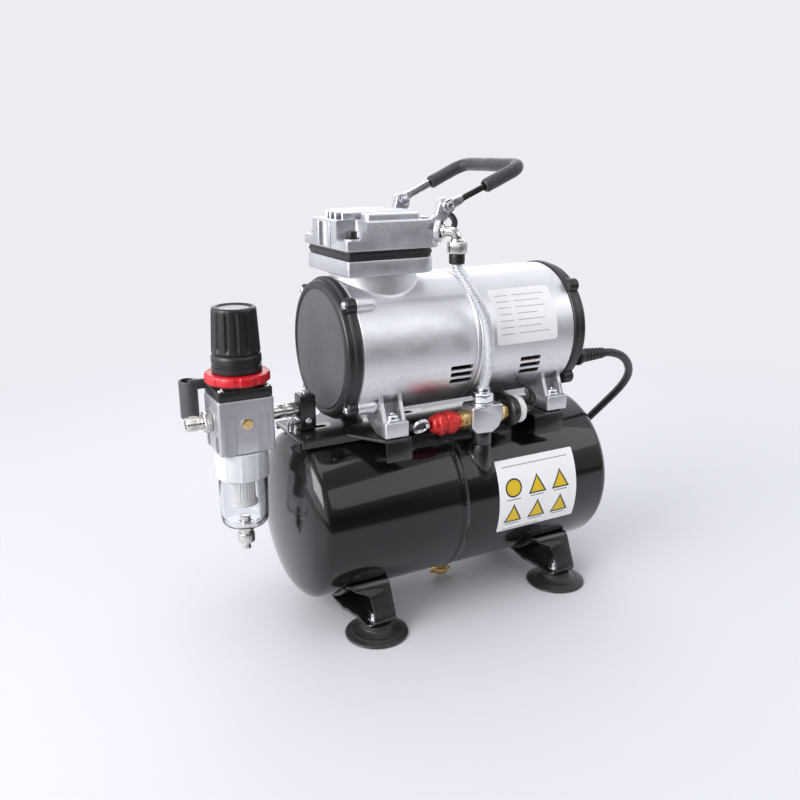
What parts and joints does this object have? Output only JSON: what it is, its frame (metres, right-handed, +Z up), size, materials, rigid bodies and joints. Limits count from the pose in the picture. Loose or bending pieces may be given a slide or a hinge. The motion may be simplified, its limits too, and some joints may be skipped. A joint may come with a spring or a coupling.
{
  "type": "airbrush compressor",
  "caption": "Portable oil-less piston air compressor on a horizontal tank with suction feet, carrying handle, braided hose, filter-regulator and mains lead.",
  "frame": {"origin": "middle of the footprint at the surface the feet stand on, without the mains lead", "axes": "+X along the tank towards the mains lead's end, +Y to the back, +Z up"},
  "size_m": [0.3745, 0.2428, 0.3248],
  "materials": {
    "tank_black": "gloss enamel",
    "leg_black": "satin enamel",
    "foot_rubber": "matt moulded rubber",
    "brass": "machined",
    "sheet_black": "satin enamel",
    "steel": "zinc plated",
    "cast_alu": "bead-blasted casting",
    "motor_alu": "satin silver",
    "cover_black": "satin powder coat",
    "piston_ptfe": "filled PTFE cup on an alloy rod",
    "lamination": "stacked laminations",
    "copper": "enamelled winding wire",
    "fan_plastic": "moulded",
    "gasket_black": "matt",
    "nickel": "nickel plated",
    "hose_clear": "clear tube over a silver braid",
    "foam_grey": "closed-cell foam",
    "valve_red": "red anodised",
    "switch_black": "moulded",
    "cap_white": "moulded",
    "reg_zinc": "silver paint on a zinc casting",
    "reg_black": "fine spark texture",
    "ring_red": "moulded",
    "bowl_clear": "clear polycarbonate",
    "filter_white": "sintered",
    "holder_rubber": "dipped coating",
    "cord_black": "satin sheath",
    "plug_black": "moulded"
  },
  "bodies": {
    "base": {"tank_shell": "tank_black", "leg_front_left": "leg_black", "leg_front_right": "leg_black", "leg_rear_left": "leg_black", "leg_rear_right": "leg_black", "suction_foot_front_left": "foot_rubber", "suction_foot_front_right": "foot_rubber", "suction_foot_rear_left": "foot_rubber", "suction_foot_rear_right": "foot_rubber", "tank_drain_body": "brass", "motor_plate": "sheet_black", "mount_bolt_front_left": "steel", "mount_bolt_front_right": "steel", "mount_bolt_rear_left": "steel", "mount_bolt_rear_right": "steel", "crankcase": "cast_alu", "motor_housing": "motor_alu", "front_cover": "cover_black", "rear_cover": "cover_black", "stator": "copper", "bearing_front": "steel", "bearing_rear": "steel", "cylinder_base": "cast_alu", "cylinder_sleeve": "steel", "head_gasket": "gasket_black", "cylinder_head": "cast_alu", "outlet_elbow": "nickel", "air_hose": "hose_clear", "tee_block": "nickel", "safety_adapter": "brass", "safety_valve": "valve_red", "switch_nipple": "brass", "pressure_switch": "switch_black", "switch_cap": "cap_white", "inlet_block": "sheet_black", "inlet_nipple": "nickel", "regulator_body": "reg_zinc", "bonnet": "reg_black", "panel_ring": "ring_red", "lock_collar": "reg_black", "outlet_nipple": "nickel", "filter_bowl": "bowl_clear", "filter_element": "filter_white", "airbrush_holder": "holder_rubber", "strain_relief": "cord_black", "power_cord": "cord_black", "cord_coil": "cord_black", "power_plug": "plug_black"},
    "handle": {"handle_bar": "steel", "handle_grip": "foam_grey"},
    "rotor": {"crankshaft": "steel", "rotor_core": "lamination", "cooling_fan": "fan_plastic"},
    "piston": {"piston_rod": "piston_ptfe"},
    "spindle": {"adjusting_spindle": "steel"},
    "knob": {"regulator_knob": "reg_black"},
    "bowl_valve": {"bowl_drain": "nickel"},
    "tank_valve": {"tank_drain_knob": "brass"},
    "relief_pull": {"pull_ring": "steel"}
  },
  "joints": [
    {"name": "handle_fold", "type": "hinge", "parent": "base", "child": "handle", "pos_m": [0.0158, 0, 0.2945], "axis": [0, 1, 0], "range_deg": [-62, 36]},
    {"name": "motor_spin", "type": "hinge", "parent": "base", "child": "rotor", "pos_m": [0.0308, 0, 0.1982], "axis": [1, 0, 0], "continuous": true},
    {"name": "piston_stroke", "type": "slide", "parent": "base", "child": "piston", "axis": [0, 0, 1], "range_m": [-0.005, 0.005]},
    {"name": "regulator_turn", "type": "hinge", "parent": "base", "child": "spindle", "pos_m": [-0.1248, 0, 0.205], "axis": [0, 0, 1], "range_deg": [-720, 720]},
    {"name": "knob_unlock", "type": "slide", "parent": "spindle", "child": "knob", "axis": [0, 0, 1], "range_m": [0, 0.003]},
    {"name": "bowl_drain_turn", "type": "hinge", "parent": "base", "child": "bowl_valve", "pos_m": [-0.1248, 0, 0.078], "axis": [0, 0, 1], "range_deg": [0, 180]},
    {"name": "tank_drain_turn", "type": "hinge", "parent": "base", "child": "tank_valve", "pos_m": [0.0348, 0, 0.005], "axis": [0, 0, 1], "range_deg": [0, 360]},
    {"name": "relief_pull_out", "type": "slide", "parent": "base", "child": "relief_pull", "axis": [-1, 0, 0], "range_m": [0, 0.002], "stiffness_N_per_m": 4000}
  ]
}
